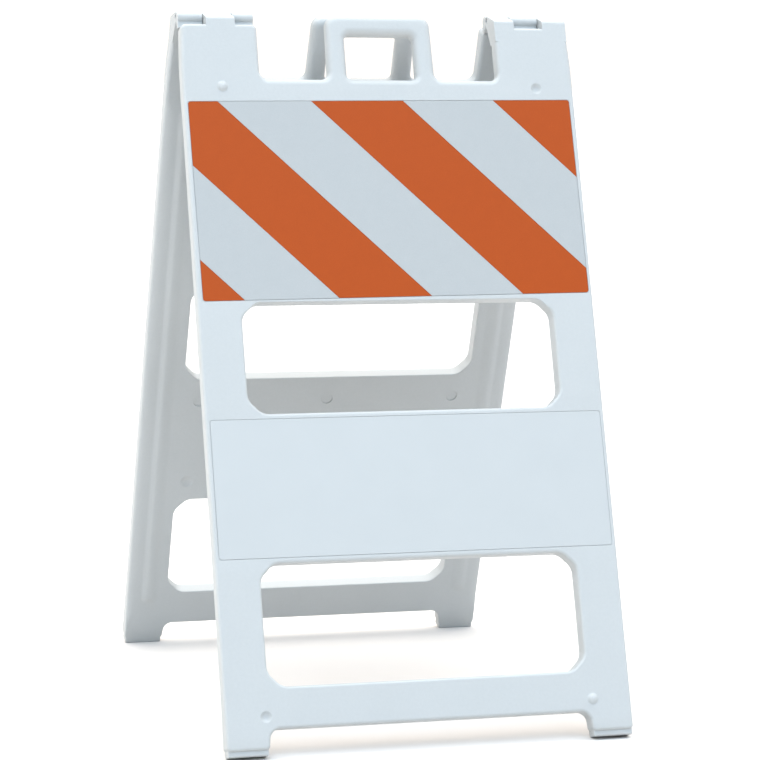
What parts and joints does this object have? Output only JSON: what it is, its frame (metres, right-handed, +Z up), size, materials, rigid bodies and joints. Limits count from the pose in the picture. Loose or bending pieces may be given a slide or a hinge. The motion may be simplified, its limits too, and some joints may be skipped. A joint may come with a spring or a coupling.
{
  "type": "folding a-frame barricade",
  "caption": "Folding A-frame traffic barricade in white moulded plastic, hinged at the top, with orange and white diagonal striped panels, plain lower panels and carry handles.",
  "frame": {"origin": "on the ground plane, midway between the four feet", "axes": "+X across the barricade to the right as seen from the front, -Y out of the front panel, +Z up"},
  "size_m": [0.614, 0.8026, 1.0542],
  "materials": {
    "frame": "white moulded polyethylene with a fine mottled grain",
    "sheet_white": "white retroreflective sheeting",
    "sheet_orange": "orange retroreflective sheeting",
    "sheet_plain": "plain smooth white sheet",
    "pin": "plain zinc plated steel"
  },
  "bodies": {
    "front": {"front_frame": "frame", "right_hinge_pin": "pin", "front_lower_sheet": "sheet_plain", "front_orange_strip_1": "sheet_orange", "front_orange_strip_2": "sheet_orange", "front_orange_strip_3": "sheet_orange", "front_orange_strip_4": "sheet_orange", "front_white_strip_1": "sheet_white", "front_white_strip_2": "sheet_white", "front_white_strip_3": "sheet_white"},
    "rear": {"rear_frame": "frame", "left_hinge_pin": "pin", "rear_lower_sheet": "sheet_plain", "rear_orange_strip_1": "sheet_orange", "rear_orange_strip_2": "sheet_orange", "rear_orange_strip_3": "sheet_orange", "rear_orange_strip_4": "sheet_orange", "rear_white_strip_1": "sheet_white", "rear_white_strip_2": "sheet_white", "rear_white_strip_3": "sheet_white"}
  },
  "joints": [
    {"name": "fold_hinge", "type": "hinge", "parent": "front", "child": "rear", "pos_m": [0, 0, 1.04671], "axis": [1, 0, 0], "range_deg": [-39, 0]}
  ]
}
